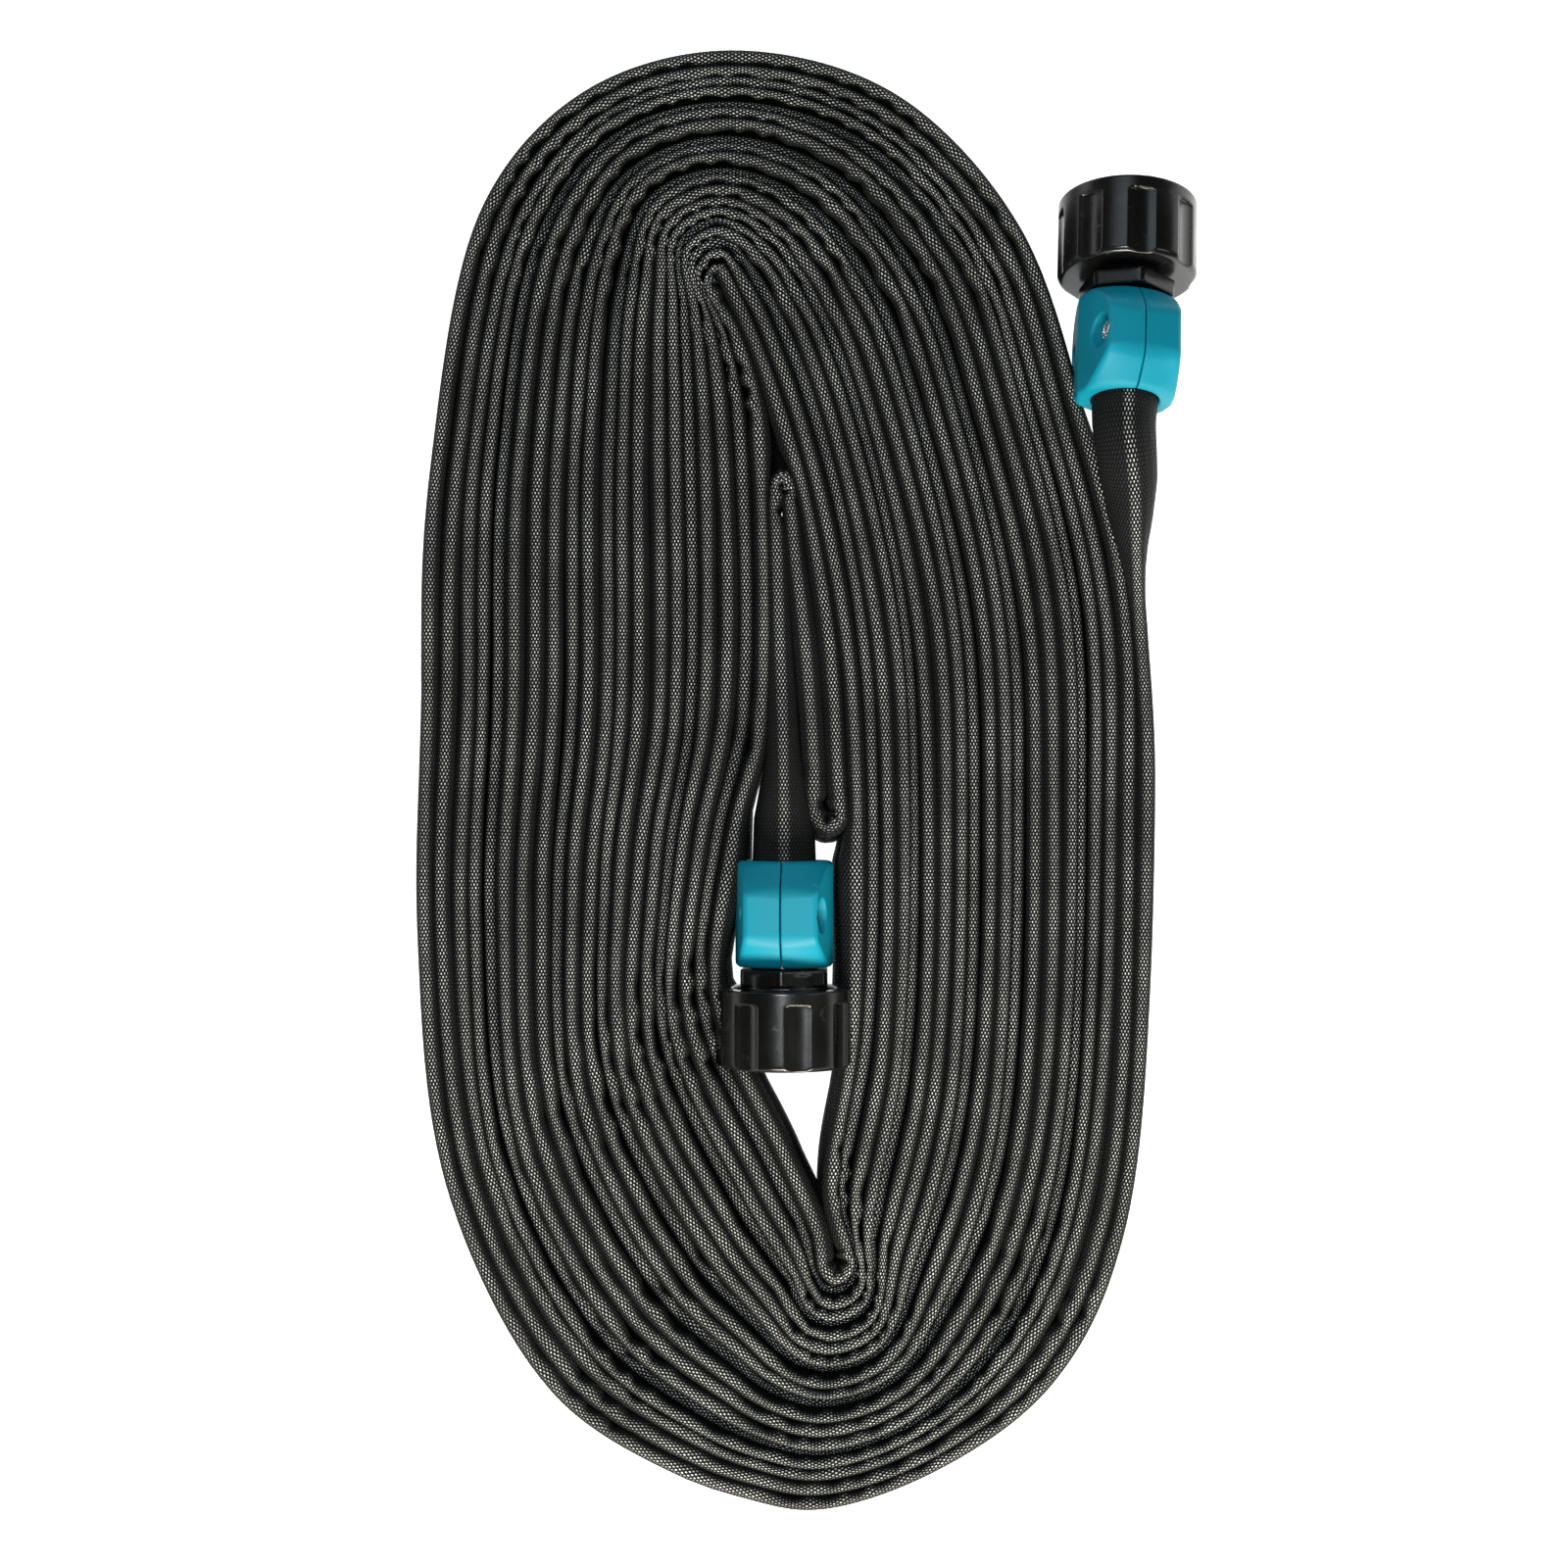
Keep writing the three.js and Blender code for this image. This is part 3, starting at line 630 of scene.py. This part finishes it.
# Sizes and places in millimetres, "turned" in degrees.
GAP = 0.3  # between the clamp's two halves
CLAMP = {"length": 28.4, "slope": 7.7, "height": 16.5, "mouth": 10.5, "ellipse": 13.3}
CLAMP_WIDTHS = {"mouth": 12.3, "panel": 9.7, "middle": 13.1}
BORE = 8.95
SCREW_OFFSET = 11.1  # from the coupling's axis to a screw's
SCREW_SEAT = 7.4
SCREW_HOLE, SCREW_RECESS = 1.9, 4.4
SCREW = {"head": 3.55, "dome": 4.75, "shaft": 1.35, "ridge": 0.22, "pitch": 1.2, "tip": -8.7}
CROSS = {"depth": 0.75, "reach": 2.0, "half_width": 0.5}
JACKET_END = {"outer": 8.6, "wall": 0.55, "low": 3.2, "high": 24.8}
LINER_END = {"outer": 7.75, "wall": 0.55, "low": 1.4, "high": 24.8}

PASSAGE = 4.8  # the radius of the stems' own bore
BARBS = {"root": 6.1, "height": 0.8, "pitch": 4, "low": 3, "high": 23}
SHANK = {"outer": 6.1, "low": 20, "high": 26}
SHOULDER = {"outer": 8.5, "low": 25.3, "high": 30}
HEXAGON = {"flat": 11.35, "corner": 12.85, "low": 28.8, "high": 33.2}
NECK = {"outer": 7.8, "low": 30, "high": 40}
FLANGE = {"outer": 11.2, "low": 38.6, "high": 40.8}
COLLAR = {"outer": 11.6, "low": 30, "high": 35.2}
SPOUT = {"root": 12.1, "low": 34, "high": 47.6, "rim": 12.4, "well": 8.6, "well_floor": 38.6}

PITCH = 25.4 / 11.5  # of the garden hose thread
RIDGE = 1.15  # the height of its ridge
MALE_THREAD = {"start": 36.4, "turns": 4.2}
NUT_THREAD = {"start": 46.2, "turns": 3.2}
CAP_TURNS = 3.0
FEMALE_CORE = 13.75

GRIP = {"outer": 18.4, "chamfer": 1.0, "flutes": 8, "flute": 9, "flute_axis": 26.3, "ledge": 3.3}
NUT = {"open": 56, "back": 34.4, "turned": 5.7, "hole": 8.2, "seat": 37.8, "mouth": 14.3, "mouth_floor": 50}
CAP = {"open": 34, "back": 55, "turned": 15.8, "first_ridge": 38.4, "floor": 50.8}
WASHER = {"outer": 12.2, "inner": 6.5}
INLET_WASHER, OUTLET_WASHER = (41.1, 43.9), (47.9, 50.5)

FINE, MEDIUM, COARSE = 0.14, 0.3, 0.33  # how far apart the fields are sampled
RING_STEP = 0.29
INLET_STEM_REACH, OUTLET_STEM_REACH = 13.4, 13.8  # how far from the axis they are sampled
RING_REACH = 18.9
SPARE = 0.8  # how far beyond a piece's ends its field is sampled


def clamp_body(x, y, z):
    """The outside of both halves together."""
    inwards = np.minimum(z, CLAMP["length"] - z)
    share = inwards / CLAMP["slope"]
    over = np.maximum(0.12 - np.abs(share - 1), 0)
    rise = np.minimum(share, 1) - over ** 2 / 0.48
    mouth = CLAMP["mouth"] * np.sqrt(np.maximum(1 - (x / CLAMP["ellipse"]) ** 2, 0.05))
    panel = np.abs(y) - CLAMP["height"]
    slope = 0.79 * (np.abs(y) - mouth - (CLAMP["height"] - mouth) * share)
    front_width = CLAMP_WIDTHS["mouth"] + (CLAMP_WIDTHS["panel"] - CLAMP_WIDTHS["mouth"]) * rise
    height = mouth + (CLAMP["height"] - mouth) * rise
    taper = (CLAMP_WIDTHS["middle"] - front_width) * np.abs(y) / height
    side = 0.97 * (np.abs(x) - CLAMP_WIDTHS["middle"] + taper)
    crown = meet(1.5, panel, slope)
    return meet(1.3, crown, side, -inwards)


def clamp_half(sign):
    def field(x, y, z):
        across = np.hypot(np.abs(y) - SCREW_OFFSET, z - CLAMP["length"] / 2)
        body = meet(0.22, clamp_body(x, y, z), GAP / 2 - sign * x)
        body = meet(0.45, body, BORE - np.hypot(x, y))
        recess = meet(0.3, across - SCREW_RECESS, SCREW_SEAT - GAP - x)
        body = meet(0.35, body, -recess)
        return np.maximum(body, SCREW_HOLE - across)
    return field


def screw(side):
    def field(x, y, z):
        y, z = y - side * SCREW_OFFSET, z - CLAMP["length"] / 2
        r = np.hypot(y, z)
        angle = np.arctan2(z, y)
        ridge = SCREW["ridge"] * np.cos(2 * math.pi * (x / SCREW["pitch"]) - angle)
        shaft = 0.7 * np.maximum(r - SCREW["shaft"] - ridge, between(x, SCREW["tip"], SCREW_SEAT + 0.5))
        point = 0.7 * (r - (x - SCREW["tip"] + 0.2) * 0.9)
        shaft = np.maximum(shaft, point)
        dome = np.sqrt((x - SCREW_SEAT + 2.4) ** 2 + r ** 2) - SCREW["dome"]
        head = meet(0.35, r - SCREW["head"], SCREW_SEAT - x, dome)
        turned = math.radians(30 + 17 * side)
        u = y * math.cos(turned) + z * math.sin(turned)
        v = -y * math.sin(turned) + z * math.cos(turned)
        deep = SCREW_SEAT + CROSS["depth"] - x
        arm = CROSS["half_width"] - 0.12 * deep
        slot_u = np.maximum(np.abs(u) - CROSS["reach"], np.abs(v) - arm)
        slot_v = np.maximum(np.abs(v) - CROSS["reach"], np.abs(u) - arm)
        cross = np.minimum(slot_u, slot_v)
        head = meet(0.12, head, -meet(0.15, cross, deep))
        return join(0.2, head, shaft)
    return field


def thread(x, y, z, core, direction, start, turns):
    """A right-handed helical ridge that stands on a core, outwards for direction 1 and inwards for -1."""
    along = (z - start) / PITCH - np.arctan2(y, x) / (2 * math.pi)
    from_crest = np.abs(along - np.round(along)) * PITCH
    share = np.clip((0.62 - from_crest) / 0.36, 0, 1)
    fade = np.clip(np.minimum(z - start + 0.9, start + turns * PITCH + 0.9 - z), 0, 1)
    return 0.6 * direction * (np.hypot(x, y) - core - direction * RIDGE * share * fade)


def stem_shank(r, z):
    """The barbs that the hose is pushed over, and the shoulder that it stops at."""
    tooth = ((z - BARBS["low"]) / BARBS["pitch"]) % 1
    barbs = BARBS["root"] + BARBS["height"] * np.where(tooth < 0.8, tooth / 0.8, (1 - tooth) / 0.2)
    shank = np.maximum(0.8 * (r - barbs), between(z, BARBS["low"], BARBS["high"]))
    shank = np.minimum(shank, rod(0.2, r, z, **SHANK))
    return join(0.3, shank, rod(0.4, r, z, **SHOULDER))


def hexagon(x, y, z):
    slants = np.maximum(np.abs(0.5 * x + 0.866 * y), np.abs(0.5 * x - 0.866 * y))
    flats = np.maximum(np.abs(x), slants) - HEXAGON["flat"]
    return meet(0.35, flats, np.hypot(x, y) - HEXAGON["corner"], HEXAGON["low"] - z, z - HEXAGON["high"])


def inlet_stem(x, y, z):
    """The stem with the flange that the nut swivels on."""
    r = np.hypot(x, y)
    body = join(0.3, stem_shank(r, z), hexagon(x, y, z))
    body = join(0.3, body, rod(0.2, r, z, **NECK))
    body = join(0.2, body, rod(0.25, r, z, **FLANGE))
    return meet(0.3, body, PASSAGE - r)


def outlet_stem(x, y, z):
    """The stem with the threaded spout, whose bore widens to a well."""
    r = np.hypot(x, y)
    body = join(0.3, stem_shank(r, z), hexagon(x, y, z))
    body = join(0.2, body, rod(0.2, r, z, **COLLAR))
    spout = thread(x, y, z, SPOUT["root"], 1, **MALE_THREAD)
    spout = np.maximum(spout, between(z, SPOUT["low"], SPOUT["high"]))
    spout = meet(0.3, spout, r - SPOUT["root"] - RIDGE, z - SPOUT["high"])
    body = np.minimum(body, meet(0.4, spout, 0.7 * (r + z - SPOUT["high"] - SPOUT["rim"])))
    body = meet(0.3, body, PASSAGE - r)
    return meet(0.3, body, -meet(0.3, r - SPOUT["well"], SPOUT["well_floor"] - z))


def grip(x, y, z, plain_end, fluted_end, turned):
    """A ring's outside with flutes that start at its chamfered end and stop short of the plain one."""
    r = np.hypot(x, y)
    away = 1 if fluted_end > plain_end else -1
    length = between(z, min(plain_end, fluted_end), max(plain_end, fluted_end))
    chamfer = 0.707 * (r - GRIP["outer"] + GRIP["chamfer"] + away * (z - fluted_end))
    shape = meet(0.4, r - GRIP["outer"], length, chamfer)
    sector = 2 * math.pi / GRIP["flutes"]
    angle = np.arctan2(y, x) - math.pi / 2 + math.radians(turned)
    folded = (angle + sector / 2) % sector - sector / 2
    hollow = np.hypot(r * np.cos(folded) - GRIP["flute_axis"], r * np.sin(folded)) - GRIP["flute"]
    ledge = plain_end + away * GRIP["ledge"]
    flute = meet(0.5, hollow, away * (ledge - z) + 0.5 * np.maximum(r - 17.3, 0) - 0.2)
    return meet(0.26, shape, -flute)


def swivel_nut(x, y, z):
    r = np.hypot(x, y)
    wall = thread(x, y, z, FEMALE_CORE, -1, **NUT_THREAD)
    cavity = np.minimum(np.maximum(-wall, NUT["seat"] - z), r - NUT["hole"])
    lead_in = 0.707 * (r - NUT["mouth"] + NUT["open"] - z)
    cavity = join(0.5, cavity, np.maximum(lead_in, NUT["mouth_floor"] - z))
    return meet(0.3, grip(x, y, z, NUT["open"], NUT["back"], NUT["turned"]), -cavity)


def screw_cap(x, y, z):
    # Its ridge starts half a turn off, so that it runs in the groove of the spout's thread.
    whole_turns = round((CAP["first_ridge"] - MALE_THREAD["start"]) / PITCH)
    start = MALE_THREAD["start"] + (whole_turns + 0.5) * PITCH
    wall = thread(x, y, z, FEMALE_CORE, -1, start, CAP_TURNS)
    cavity = np.maximum(-wall, z - CAP["floor"])
    return meet(0.3, grip(x, y, z, CAP["open"], CAP["back"], CAP["turned"]), -cavity)


def washer(low, high):
    def field(x, y, z):
        r = np.hypot(x, y)
        return meet(0.45, r - WASHER["outer"], WASHER["inner"] - r, low - z, z - high)
    return field


def finish_piece(piece, node, body):
    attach(piece, body)
    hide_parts(node)
    return piece


def build_sleeve(node, name, place, material, slot, outer, wall, low, high):
    """A thin tube with rolled ends, gripped inside a clamp."""
    inner = outer - wall
    profile = [(inner, low + 0.2), (inner + 0.15, low), (outer - 0.15, low), (outer, low + 0.2)]
    profile += [(outer, high - 0.2), (outer - 0.15, high), (inner + 0.15, high), (inner, high - 0.2)]
    sides = 64
    angle = np.arange(sides) / sides * 2 * math.pi
    points = [(r * math.cos(a), r * math.sin(a), z) for r, z in profile for a in angle]
    faces = []
    for i in range(len(profile)):
        for k in range(sides):
            a, b = i * sides + k, i * sides + (k + 1) % sides
            c, d = (i + 1) % len(profile) * sides + (k + 1) % sides, (i + 1) % len(profile) * sides + k
            faces.append((a, b, c, d))
    return finish_piece(mesh_object(name, points, faces, material, place), node, "hose")


def build_clamp(prefix, place):
    """The two halves, their screws and the hose's two layers that they grip."""
    pieces = []
    reach, top, margin = 13.8, 17.2, 0.7
    below, above, around = -9.4, SCREW_SEAT + 2.9, 4  # the room for a screw
    for name, sign in (("head", 1), ("tip", -1)):
        low = (min(0, sign * reach) - 0.4, -top, -margin)
        high = (max(0, sign * reach) + 0.4, top, CLAMP["length"] + margin)
        node = f"{prefix}_clamp_{name}_half"
        piece = sculpt(node + "_moulded", clamp_half(sign), low, high, COARSE, TEAL, place)
        pieces.append(finish_piece(piece, node, "hose"))
    for name, side in (("front", 1), ("back", -1)):
        y, z = side * SCREW_OFFSET, CLAMP["length"] / 2
        low, high = (below, y - around, z - around), (above, y + around, z + around)
        node = f"{prefix}_screw_{name}"
        piece = sculpt(node + "_turned", screw(side), low, high, FINE, STEEL, place)
        pieces.append(finish_piece(piece, node, "hose"))
    node = f"{prefix}_jacket_end"
    pieces.append(build_sleeve(node, node + "_woven", place, JACKET, "jacket", **JACKET_END))
    node = f"{prefix}_liner_end"
    pieces.append(build_sleeve(node, node + "_tube", place, LINER, "liner", **LINER_END))
    return pieces


def room_along(span, reach):
    """Two opposite corners of a box about the coupling's axis."""
    return (-reach, -reach, span[0] - SPARE), (reach, reach, span[1] + SPARE)


def build_moulding(node, field, span, reach, step, place, body):
    """A black moulded piece on the coupling's axis."""
    piece = sculpt(node + "_moulded", field, *room_along(span, reach), step, BLACK, place)
    return finish_piece(piece, node, body)


def build_washer(node, span, place, body):
    reach = WASHER["outer"] + 0.6
    piece = sculpt(node + "_moulded", washer(*span), *room_along(span, reach), MEDIUM, RUBBER, place)
    return finish_piece(piece, node, body)


def build_inlet_fitting(place):
    """The stem, the nut that swivels on it and the nut's washer."""
    stem_span, nut_span = (BARBS["low"], FLANGE["high"]), (NUT["back"], NUT["open"])
    build_moulding("inlet_stem", inlet_stem, stem_span, INLET_STEM_REACH, COARSE, place, "hose")
    build_moulding("inlet_nut", swivel_nut, nut_span, RING_REACH, RING_STEP, place, "swivel_nut")
    build_washer("inlet_washer", INLET_WASHER, place, "swivel_nut")


def build_outlet_fitting(place):
    """The stem, the cap on its spout and the cap's washer."""
    stem_span, cap_span = (BARBS["low"], SPOUT["high"]), (CAP["open"], CAP["back"])
    return [
        build_moulding("outlet_stem", outlet_stem, stem_span, OUTLET_STEM_REACH, COARSE, place, "hose"),
        build_moulding("outlet_cap", screw_cap, cap_span, RING_REACH, RING_STEP, place, "cap"),
        build_washer("outlet_cap_washer", OUTLET_WASHER, place, "cap_washer"),
    ]


inlet_place, outlet_place = coupling_place(**INLET), coupling_place(**OUTLET)
build_clamp("inlet", inlet_place)
outlet_pieces = build_clamp("outlet", outlet_place)
build_inlet_fitting(inlet_place)
outlet_pieces += build_outlet_fitting(outlet_place)

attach(hose, "hose")
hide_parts("hose_coil", "hose_inlet_tail", "hose_outlet_tail")


# ---------------------------------------------------------------- the floor

def pale_floor():
    n = Nodes("pale_floor")
    cloud = n.noise(n.place(), 3.0)
    n.shader.inputs["Emission Color"].default_value = (1, 1, 1, 1)
    n.shader.inputs["Emission Strength"].default_value = 0.95
    return n.finish(Base_Color=n.mix(cloud, grey(0.90), grey(0.93)), Roughness=0.7)


def build_floor():
    """A very wide floor whose edges turn up far away, so that no low view looks past it."""
    reach, rim = 10000.0, 1500.0
    corners = [(-reach, -reach), (reach, -reach), (reach, reach), (-reach, reach)]
    points = [(x, y, 0) for x, y in corners] + [(x, y, rim) for x, y in corners]
    faces = [(0, 1, 2, 3)] + [((k + 1) % 4, k, k + 4, (k + 1) % 4 + 4) for k in range(4)]
    floor = mesh_object("floor", points, faces, pale_floor())
    floor.data.shade_flat()


build_floor()
